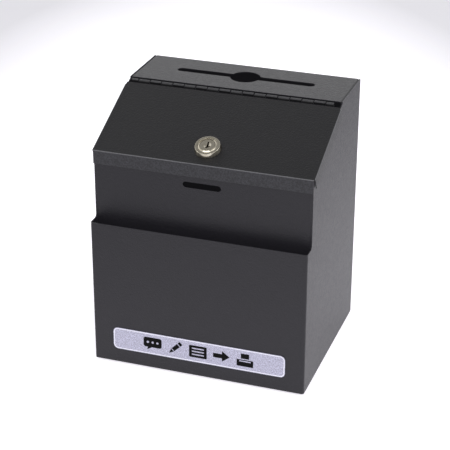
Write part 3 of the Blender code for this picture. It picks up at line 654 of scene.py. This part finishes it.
def finish_small_parts():
    zinc = plated_metal("zinc_plate", ZINC_TONE, 0.34, 0.6)
    brass = plated_metal("wafer_brass", BRASS_TONE, 0.3, 0.4)
    black_rubber = rubber("foot_rubber")
    for name in ("lock_washer", "lock_nut", "lock_cam", "cam_washer", "cam_screw"):
        finish_cad_node(name, zinc, SMALL_ROUNDING)
    for name in sorted(NODES):
        if name.startswith("lock_wafer"):
            finish_cad_node(name, brass, 0.05 * MM)
        if name.startswith("foot_"):
            finish_cad_node(name, black_rubber, None)


# ---------------------------------------------------------------- lock

def threaded_shank(radius, top, bottom):
    """Outer profile of a thread, running down from top to bottom."""
    turns = int((top - bottom) / THREAD_PITCH)
    points = []
    for turn in range(turns):
        crest = top - turn * THREAD_PITCH
        points.append((radius, crest))
        points.append((radius, crest - 0.15 * THREAD_PITCH))
        points.append((radius - THREAD_DEPTH, crest - 0.5 * THREAD_PITCH))
        points.append((radius - THREAD_DEPTH, crest - 0.6 * THREAD_PITCH))
    points.append((radius - THREAD_DEPTH, bottom))
    return points


def cut_flats(obj, half_width, top):
    """Cut both sides of a turned piece flat, from the given height down."""
    cut_blocks(obj, [((half_width, -CUT_REACH, CUT_DEPTH), (CUT_REACH, CUT_REACH, top)),
                     ((-CUT_REACH, -CUT_REACH, CUT_DEPTH), (-half_width, CUT_REACH, top))],
               lock_frame())


def make_lock_housing(nickel):
    """Stepped round head with a raised ring, and the threaded shank behind the lid."""
    groove_bottom = RING_LEVEL - 0.5 * MM
    head = rounded([
        (RECESS_RADIUS, DISC_LEVEL, 0),
        (DISC_RADIUS - DISC_SLOPE, DISC_LEVEL, 0.5 * MM),
        (DISC_RADIUS, DISC_LEVEL - DISC_DROP, 0.3 * MM),
        (DISC_RADIUS, groove_bottom, 0),
        (DISC_RADIUS + GROOVE_WIDTH, groove_bottom, 0),
        (DISC_RADIUS + GROOVE_WIDTH, RING_LEVEL, 0.2 * MM),
        (RING_RADIUS, RING_LEVEL, RING_ROUNDING),
        (HEAD_RADIUS, 0.3 * MM, 0.15 * MM),
        (THREAD_RADIUS, 0.3 * MM, 0),
    ], steps=8)
    shank = threaded_shank(THREAD_RADIUS, 0.2 * MM, SHANK_END)
    bore = [(BORE_RADIUS, SHANK_END), (BORE_RADIUS, RECESS_FLOOR), (RECESS_RADIUS, RECESS_FLOOR)]
    profile = [(point.x, point.y) for point in head] + shank + bore
    obj = turned("lock_head", profile, lock_frame(), ring=True)
    cut_flats(obj, THREAD_HALF_FLAT, 0)
    finish_piece(obj, "lid", nickel, ["lock_housing"])


def make_lock_face(nickel):
    """Turning plug with a dished face round its keyway."""
    profile = [(point.x, point.y) for point in rounded([
        (0, PLUG_FACE - DISH_DEPTH, 0),
        (1.2 * MM, PLUG_FACE - DISH_DEPTH + 0.1 * MM, 0.4 * MM),
        (3.7 * MM, PLUG_FACE, 0.5 * MM),
        (PLUG_HEAD_RADIUS, PLUG_FACE, 0.35 * MM),
        (PLUG_HEAD_RADIUS, PLUG_HEAD_FLOOR, 0),
        (PLUG_RADIUS, PLUG_HEAD_FLOOR, 0),
        (PLUG_RADIUS, PLUG_END, 0.2 * MM),
        (TAIL_RADIUS, PLUG_END, 0),
        (TAIL_RADIUS, TAIL_END, 0.15 * MM),
        (TAIL_BORE_RADIUS, TAIL_END, 0),
        (TAIL_BORE_RADIUS, TAIL_BORE_END, 0),
        (0, TAIL_BORE_END, 0),
    ], steps=5)]
    obj = turned("lock_face", profile, lock_frame())
    half_width = KEYWAY_WIDTH / 2
    half_length = KEYWAY_LENGTH / 2
    keyway = ((-half_width, -half_length, PLUG_FACE - KEYWAY_DEPTH), (half_width, half_length, 10 * MM))
    cut_blocks(obj, [keyway], lock_frame())
    half_slot = Vector(WAFER_SLOT_HALF)
    middles = [Vector((0, 0, FIRST_WAFER - WAFER_PITCH * index)) for index in range(WAFERS)]
    cut_blocks(obj, [(middle - half_slot, middle + half_slot) for middle in middles], lock_frame())
    cut_flats(obj, TAIL_HALF_FLAT, PLUG_END)
    finish_piece(obj, "lock_barrel", nickel, ["lock_plug"])


# ---------------------------------------------------------------- label

def bubble_outline(size):
    """Speech bubble: a rounded box with a small tail at its lower left."""
    width, height = 1.35 * size, 0.78 * size
    low = -size / 2 + 0.22 * size
    corner = 0.17 * size
    return [rounded([
        (width / 2, low, corner),
        (width / 2, low + height, corner),
        (-width / 2, low + height, corner),
        (-width / 2, low, corner),
        (-0.36 * size, low, 0),
        (-0.42 * size, -size / 2, 0),
        (-0.06 * size, low, 0),
    ])]


def bubble_loops(size):
    """Bubble with three round dots left open in it."""
    middle = -size / 2 + 0.61 * size
    dots = [circle(0.085 * size, (x * size, middle), 24) for x in (-0.36, 0, 0.36)]
    return bubble_outline(size) + dots


def pencil_loops(size):
    """Pencil that leans to the right, with its tip, a bare wood gap and a ferrule gap."""
    lean = Matrix.Rotation(math.radians(-45), 2)
    half = 0.15 * size
    end = 0.62 * size
    pieces = [
        [(-half, -0.22 * size), (half, -0.22 * size), (half, 0.34 * size), (-half, 0.34 * size)],
        [(-half, 0.40 * size), (half, 0.40 * size), (half, end), (-half, end)],
        [(-half, -0.28 * size), (0, -0.64 * size), (half, -0.28 * size)],
    ]
    return [[lean @ Vector(point) for point in piece] for piece in pieces]


def card_loops(size):
    """Card with three ruled lines left open."""
    outline = rectangle(1.3 * size, 0.94 * size, 0.08 * size)
    lines = [rectangle(0.9 * size, 0.1 * size, 0.04 * size, (0, y * size)) for y in (-0.24, 0, 0.24)]
    return [outline] + lines


def arrow_loops(size):
    """Broad arrow that points right."""
    shaft = 0.17 * size
    head = 0.42 * size
    points = [(-0.6, -shaft), (0.05, -shaft), (0.05, -head), (0.6, 0), (0.05, head), (0.05, shaft),
              (-0.6, shaft)]
    return [[Vector((x * size, y)) for x, y in points]]


def box_loops(size):
    """Box seen from the front, with a slot and a card that stands half out of it."""
    body = rectangle(1.2 * size, 0.52 * size, 0.05 * size, (0, -0.24 * size))
    slot = rectangle(0.84 * size, 0.09 * size, 0.03 * size, (0, -0.1 * size))
    card = rectangle(0.6 * size, 0.4 * size, 0.04 * size, (0, 0.3 * size))
    return [body, slot, card]


def make_label():
    """Silver film with a paler border line. Returns the frame that its print lies in."""
    world = label_frame()
    low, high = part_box("pocket_label")
    width, height, thickness = high.x - low.x, high.z - low.z, high.y - low.y
    film = silver_film("label_film", FILM_TONE, 0.55)
    pale = silver_film("label_border", BORDER_TONE, 0.1)
    back = world @ Matrix.Translation((0, 0, -thickness / 2))
    sheet = plate("label_sheet", [rectangle(width, height, LABEL_CORNER)], thickness, back)
    finish_piece(sheet, "box", film, ["pocket_label"])
    front = world @ Matrix.Translation((0, 0, PRINT_GAP + PRINT_THICKNESS / 2))
    outer = rectangle(width - 2 * BORDER_INSET, height - 2 * BORDER_INSET, LABEL_CORNER - BORDER_INSET)
    inset = BORDER_INSET + BORDER_WIDTH
    inner = rectangle(width - 2 * inset, height - 2 * inset, LABEL_CORNER - inset)
    border = plate("label_border", [outer, inner], PRINT_THICKNESS, front)
    finish_piece(border, "box", pale)
    return front


def make_print(front):
    """Five black pictograms: write on a card, post it in the box."""
    black = ink("label_ink")
    pictograms = (
        ("print_bubble", bubble_loops, -47 * MM),
        ("print_pencil", pencil_loops, -23.5 * MM),
        ("print_card", card_loops, 0 * MM),
        ("print_arrow", arrow_loops, 24 * MM),
        ("print_box", box_loops, 48 * MM),
    )
    for name, loops, x in pictograms:
        place = front @ Matrix.Translation((x, 0, 0))
        obj = plate(name, loops(PRINT_HEIGHT), PRINT_THICKNESS, place)
        finish_piece(obj, "box", black)


# ---------------------------------------------------------------- stage

def make_floor():
    bpy.ops.mesh.primitive_plane_add(size=FLOOR_SIZE, location=(0, 0, 0))
    floor = bpy.context.object
    floor.name = "floor"
    floor.data.materials.append(floor_paint("floor_paint"))


def make_world():
    """Pale studio: white round the horizon, dimmer overhead and in the unlit part in front."""
    world = bpy.data.worlds.new("studio")
    world.use_nodes = True
    tree = world.node_tree
    background = tree.nodes["Background"]
    coordinates = tree.nodes.new("ShaderNodeTexCoord")
    split = tree.nodes.new("ShaderNodeSeparateXYZ")
    ramp = tree.nodes.new("ShaderNodeValToRGB")
    tree.links.new(coordinates.outputs["Generated"], split.inputs["Vector"])
    tree.links.new(split.outputs["Z"], ramp.inputs["Fac"])
    towards = tree.nodes.new("ShaderNodeVectorMath")
    towards.operation = "DOT_PRODUCT"
    tree.links.new(coordinates.outputs["Generated"], towards.inputs[0])
    towards.inputs[1].default_value = DARK_CORNER
    patch = tree.nodes.new("ShaderNodeMapRange")
    tree.links.new(towards.outputs["Value"], patch.inputs["Value"])
    patch.inputs["From Min"].default_value = DARK_CORNER_EDGES[0]
    patch.inputs["From Max"].default_value = DARK_CORNER_EDGES[1]
    patch.inputs["To Min"].default_value = 1.0
    patch.inputs["To Max"].default_value = DARK_CORNER_LEVEL
    dimmed = tree.nodes.new("ShaderNodeVectorMath")
    dimmed.operation = "SCALE"
    tree.links.new(ramp.outputs["Color"], dimmed.inputs[0])
    tree.links.new(patch.outputs["Result"], dimmed.inputs["Scale"])
    tree.links.new(dimmed.outputs["Vector"], background.inputs["Color"])
    while len(ramp.color_ramp.elements) < len(SKY_STOPS):
        ramp.color_ramp.elements.new(0.5)
    for element, (position, value) in zip(ramp.color_ramp.elements, SKY_STOPS):
        element.position = position
        element.color = (value, value, value * 1.01, 1)
    background.inputs["Strength"].default_value = 1.0
    bpy.context.scene.world = world


def area_light(name, place, aim, width, height, power):
    """Soft rectangular light that faces a point."""
    light = bpy.data.lights.new(name, "AREA")
    light.shape = "RECTANGLE"
    light.size = width
    light.size_y = height
    light.energy = power
    obj = new_object(name, light)
    aim_turn = (Vector(aim) - Vector(place)).to_track_quat("-Z", "Y")
    obj.matrix_world = Matrix.Translation(place) @ aim_turn.to_matrix().to_4x4()


def make_lights():
    middle = (CAD_BOX[0] + CAD_BOX[1]) / 2
    for name, place, width, height, power in LIGHTS:
        area_light(name, place, middle, width, height, power)


def make_camera():
    """Camera at the photographed angle."""
    back = Vector((math.sin(AZIMUTH) * math.cos(ELEVATION),
                   -math.cos(AZIMUTH) * math.cos(ELEVATION), math.sin(ELEVATION)))
    right = Vector((math.cos(AZIMUTH), math.sin(AZIMUTH), 0))
    up = back.cross(right)
    rolled_right = right * math.cos(ROLL) + up * math.sin(ROLL)
    rolled_up = up * math.cos(ROLL) - right * math.sin(ROLL)
    camera = bpy.data.cameras.new("camera")
    camera.lens = LENS
    camera.sensor_width = 36
    camera.clip_start = 0.05
    camera.clip_end = 50
    obj = new_object("camera", camera)
    place = AIM + back * DISTANCE + rolled_right * AIM_RIGHT + rolled_up * AIM_UP
    rotation = Matrix((rolled_right, rolled_up, back)).transposed().to_4x4()
    obj.matrix_world = Matrix.Translation(place) @ rotation
    bpy.context.scene.camera = obj


def main():
    bpy.context.scene.view_settings.view_transform = "Standard"
    make_camera()
    make_world()
    make_floor()
    make_lights()
    finish_sheet_metal()
    finish_small_parts()
    nickel = plated_metal("nickel_plate", NICKEL_TONE, 0.10, 0.7)
    make_lock_housing(nickel)
    make_lock_face(nickel)
    make_print(make_label())


main()
